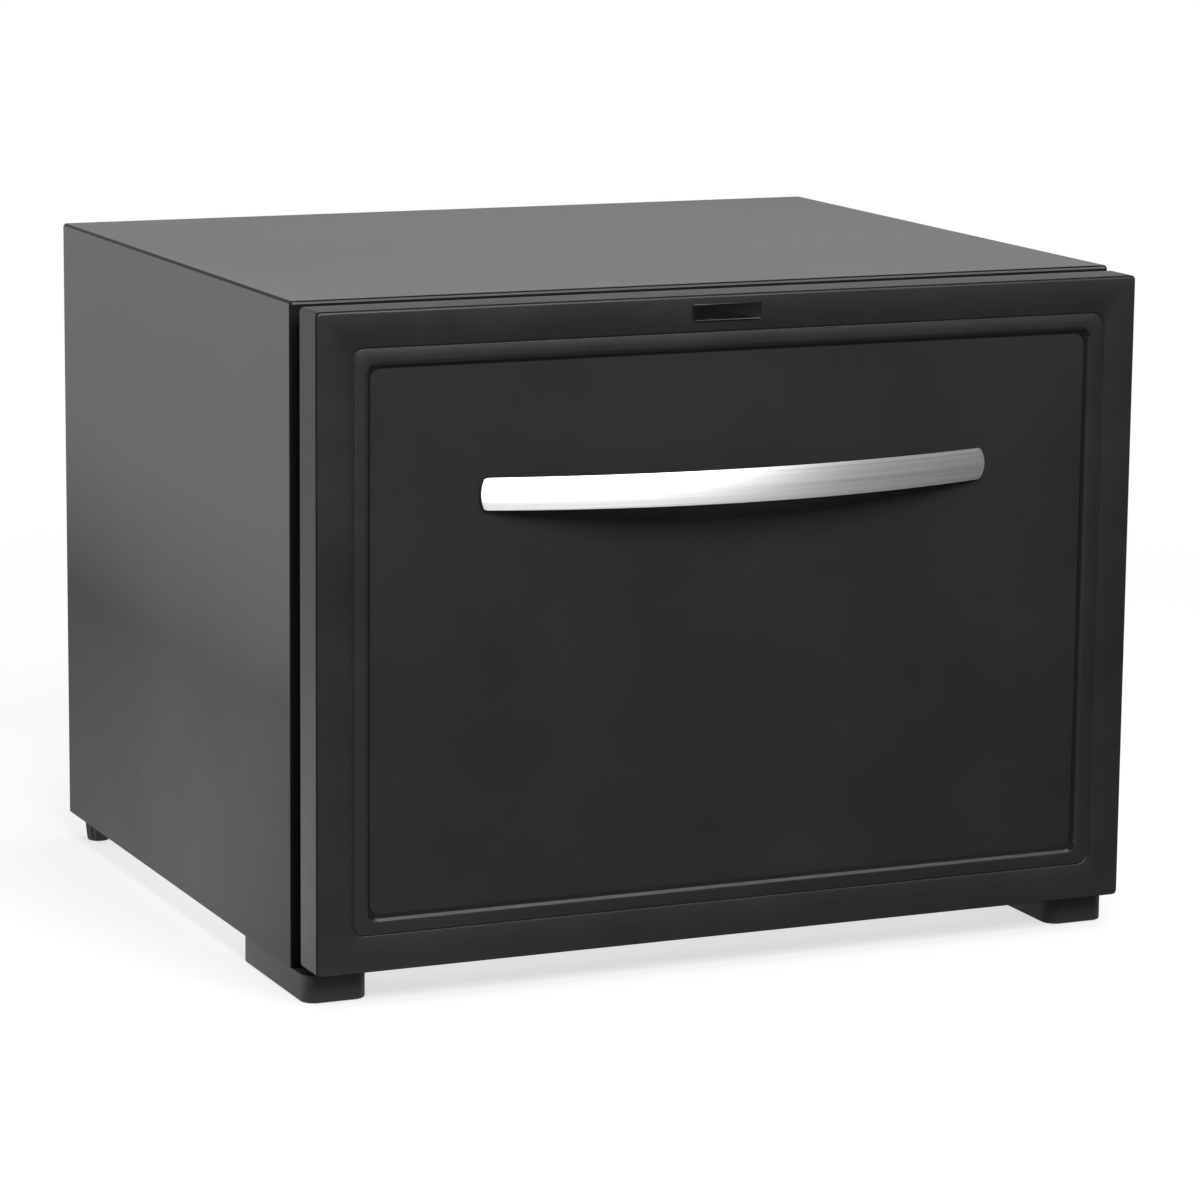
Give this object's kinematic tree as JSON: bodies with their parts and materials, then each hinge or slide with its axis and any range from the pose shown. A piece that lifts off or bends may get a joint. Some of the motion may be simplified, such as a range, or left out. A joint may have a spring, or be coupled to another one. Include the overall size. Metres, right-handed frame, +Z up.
{
  "type": "drawer minibar refrigerator",
  "caption": "Compact drawer-front minibar refrigerator: framed front with a bowed bar handle slides out on telescopic runners with its bin; silent absorption cooling unit in an open rear bay.",
  "frame": {"origin": "on the floor, at the middle of the footprint with the drawer closed, the handle included", "axes": "+Z up, +X to the right as seen from the front, the drawer front faces -Y and opens towards -Y"},
  "size_m": [0.55, 0.505, 0.4215],
  "materials": {
    "charcoal_paint": "fine textured charcoal powder coat",
    "zinc_sheet": "galvanised sheet",
    "boiler_jacket": "thin aluminised jacket",
    "insulation_foam": "rigid foam",
    "white_liner": "vacuum-formed white plastic",
    "black_frame": "satin moulded black",
    "black_panel": "matt black panel",
    "black_gloss": "gloss black plate, bare",
    "black_plastic": "matt moulded black",
    "gasket_rubber": "soft black extrusion",
    "brushed_aluminium": "brushed along its length",
    "cast_aluminium": "plain",
    "runner_steel": "bright zinc plate",
    "black_tube": "black stoved paint",
    "grey_bin": "satin moulded grey",
    "clear_plastic": "clear plastic"
  },
  "bodies": {
    "cabinet": {"absorber_coil": "black_tube", "absorber_vessel": "black_tube", "base_tray": "zinc_sheet", "boiler_bracket": "zinc_sheet", "boiler_jacket": "boiler_jacket", "bulkhead": "zinc_sheet", "condenser": "cast_aluminium", "control_box": "black_plastic", "control_cover": "black_plastic", "evaporator_fins": "cast_aluminium", "evaporator_plug": "insulation_foam", "evaporator_tube": "black_tube", "foot_nut_left": "runner_steel", "foot_nut_right": "runner_steel", "front_foot_left": "black_plastic", "front_foot_right": "black_plastic", "front_sill": "charcoal_paint", "gas_exchanger": "black_tube", "heater_cartridge": "runner_steel", "heater_lead": "black_plastic", "inner_liner": "white_liner", "insulation": "insulation_foam", "light_housing": "white_liner", "light_lens": "clear_plastic", "liquid_tube": "black_tube", "outer_wrap": "charcoal_paint", "power_inlet": "black_plastic", "riser_tube": "black_tube", "runner_fixed_left": "runner_steel", "runner_fixed_right": "runner_steel", "vessel_bracket": "zinc_sheet"},
    "drawer": {"front_frame": "black_frame", "decor_panel": "black_panel", "front_foam": "insulation_foam", "front_liner": "white_liner", "gasket": "gasket_rubber", "badge_plate": "black_gloss", "handle_band": "brushed_aluminium", "handle_foot_left": "cast_aluminium", "handle_foot_right": "cast_aluminium", "handle_screw_left": "runner_steel", "handle_screw_right": "runner_steel", "drawer_bin": "grey_bin", "divider_left": "clear_plastic", "divider_right": "clear_plastic", "rear_crossbar": "zinc_sheet", "side_frame_left": "zinc_sheet", "side_frame_right": "zinc_sheet", "runner_drawer_left": "runner_steel", "runner_drawer_right": "runner_steel"},
    "thermostat_knob": {"thermostat_knob": "black_plastic"},
    "rear_foot_left": {"rear_foot_left": "black_plastic"},
    "runner_middle_left": {"runner_middle_left": "runner_steel"},
    "ball_cage_outer_left": {"ball_cage_outer_left": "black_plastic"},
    "ball_cage_inner_left": {"ball_cage_inner_left": "black_plastic"},
    "rear_foot_right": {"rear_foot_right": "black_plastic"},
    "runner_middle_right": {"runner_middle_right": "runner_steel"},
    "ball_cage_outer_right": {"ball_cage_outer_right": "black_plastic"},
    "ball_cage_inner_right": {"ball_cage_inner_right": "black_plastic"}
  },
  "joints": [
    {"name": "drawer_slide", "type": "slide", "parent": "cabinet", "child": "drawer", "axis": [0, -1, 0], "range_m": [0, 0.265]},
    {"name": "ball_cage_outer_left_slide", "type": "slide", "parent": "cabinet", "child": "ball_cage_outer_left", "axis": [0, -1, 0], "range_m": [0, 0.06625]},
    {"name": "runner_middle_left_slide", "type": "slide", "parent": "cabinet", "child": "runner_middle_left", "axis": [0, -1, 0], "range_m": [0, 0.1325]},
    {"name": "ball_cage_inner_left_slide", "type": "slide", "parent": "cabinet", "child": "ball_cage_inner_left", "axis": [0, -1, 0], "range_m": [0, 0.19875]},
    {"name": "ball_cage_outer_right_slide", "type": "slide", "parent": "cabinet", "child": "ball_cage_outer_right", "axis": [0, -1, 0], "range_m": [0, 0.06625]},
    {"name": "runner_middle_right_slide", "type": "slide", "parent": "cabinet", "child": "runner_middle_right", "axis": [0, -1, 0], "range_m": [0, 0.1325]},
    {"name": "ball_cage_inner_right_slide", "type": "slide", "parent": "cabinet", "child": "ball_cage_inner_right", "axis": [0, -1, 0], "range_m": [0, 0.19875]},
    {"name": "knob_turn", "type": "hinge", "parent": "cabinet", "child": "thermostat_knob", "pos_m": [0.158, 0.0022, 0.3732], "axis": [0, -1, 0], "range_deg": [0, 270]},
    {"name": "rear_foot_left_turn", "type": "hinge", "parent": "cabinet", "child": "rear_foot_left", "pos_m": [-0.2595, 0.236, 0], "axis": [0, 0, 1], "continuous": true},
    {"name": "rear_foot_right_turn", "type": "hinge", "parent": "cabinet", "child": "rear_foot_right", "pos_m": [0.2595, 0.236, 0], "axis": [0, 0, 1], "continuous": true}
  ],
  "couplings": [
    {"joint": "ball_cage_outer_left_slide", "follows": "drawer_slide", "ratio": 0.25},
    {"joint": "runner_middle_left_slide", "follows": "drawer_slide", "ratio": 0.5},
    {"joint": "ball_cage_inner_left_slide", "follows": "drawer_slide", "ratio": 0.75},
    {"joint": "ball_cage_outer_right_slide", "follows": "drawer_slide", "ratio": 0.25},
    {"joint": "runner_middle_right_slide", "follows": "drawer_slide", "ratio": 0.5},
    {"joint": "ball_cage_inner_right_slide", "follows": "drawer_slide", "ratio": 0.75}
  ]
}
